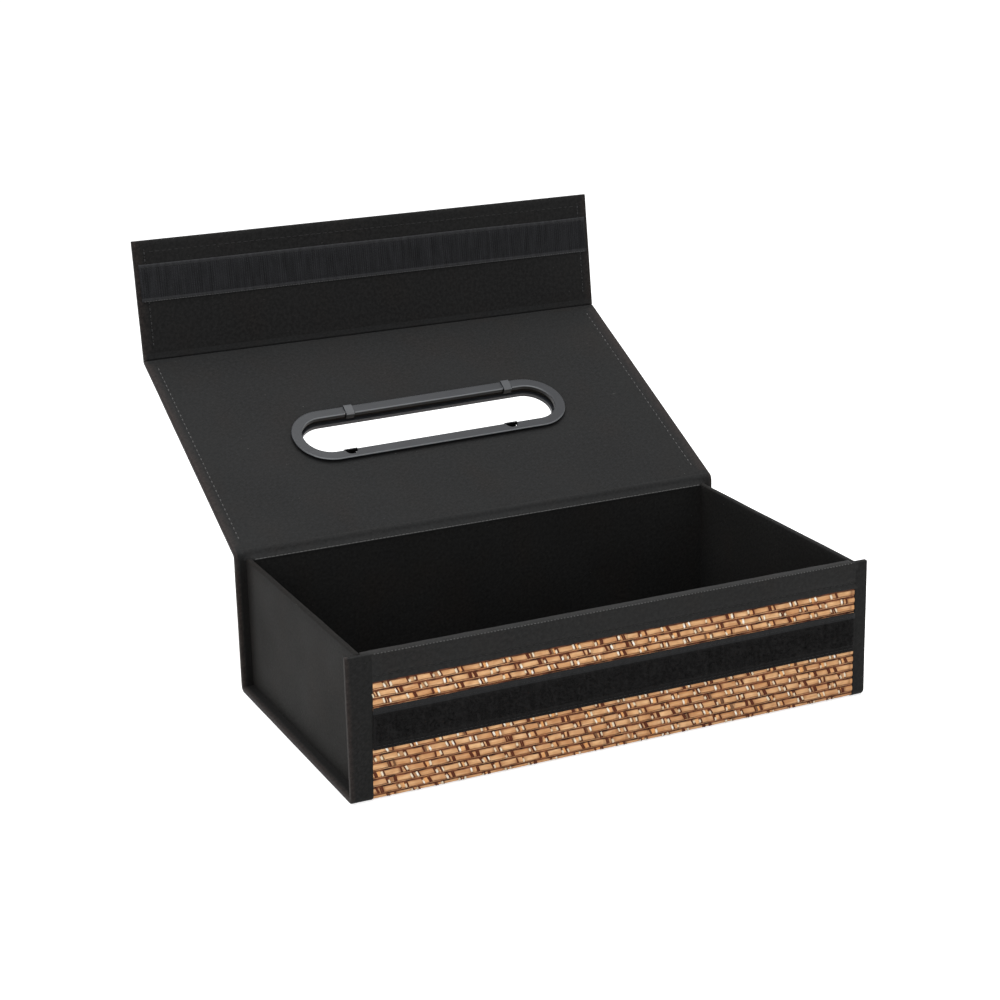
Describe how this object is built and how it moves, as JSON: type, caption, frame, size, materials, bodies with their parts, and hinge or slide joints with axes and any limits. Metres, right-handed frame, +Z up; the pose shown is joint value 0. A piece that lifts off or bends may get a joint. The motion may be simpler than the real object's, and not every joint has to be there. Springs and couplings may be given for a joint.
{
  "type": "folding tissue box",
  "caption": "Book-style tissue box: open tray, lid with a stadium slot hinged at the back, front flap with hook-and-loop closure.",
  "frame": {"origin": "middle of the tray's underside, on the surface it stands on", "axes": "+Z up, +X to the right seen from the front, the front with the loop tape faces -Y"},
  "size_m": [0.27, 0.2987, 0.2042],
  "materials": {
    "wrap_board": "matt",
    "inner_card": "matt",
    "woven_slat": "satin",
    "black_cloth": "matt",
    "liner_cloth": "matt",
    "loop_tape": "matt",
    "hook_tape": "satin",
    "grey_plastic": "satin"
  },
  "bodies": {
    "tray": {"front_board": "wrap_board", "bottom_board": "wrap_board", "back_board": "wrap_board", "front_weave": "woven_slat", "bottom_weave": "woven_slat", "back_weave": "woven_slat", "front_lining": "black_cloth", "bottom_lining": "black_cloth", "back_lining": "black_cloth", "front_edge_strip": "black_cloth", "left_wall_board": "wrap_board", "left_wall_cover": "black_cloth", "right_wall_board": "wrap_board", "right_wall_cover": "black_cloth", "front_inner_card": "inner_card", "front_liner": "liner_cloth", "back_inner_card": "inner_card", "back_liner": "liner_cloth", "floor_card": "inner_card", "floor_liner": "liner_cloth", "loop_tape": "loop_tape", "lid_hinge_fold": "black_cloth"},
    "lid": {"lid_board": "wrap_board", "lid_weave": "woven_slat", "lid_lining": "black_cloth", "slot_bezel": "grey_plastic", "slot_ring": "grey_plastic", "flap_hinge_fold": "black_cloth"},
    "flap": {"flap_board": "wrap_board", "flap_weave": "woven_slat", "flap_lining": "black_cloth", "hook_tape": "hook_tape"}
  },
  "joints": [
    {"name": "lid_hinge", "type": "hinge", "parent": "tray", "child": "lid", "pos_m": [0, 0.0739, 0.072], "axis": [-1, 0, 0], "range_deg": [-153.9, 26.1]},
    {"name": "flap_hinge", "type": "hinge", "parent": "lid", "child": "flap", "pos_m": [0, 0.2122, 0.13975], "axis": [1, 0, 0], "range_deg": [-56.8, 33.2]}
  ]
}
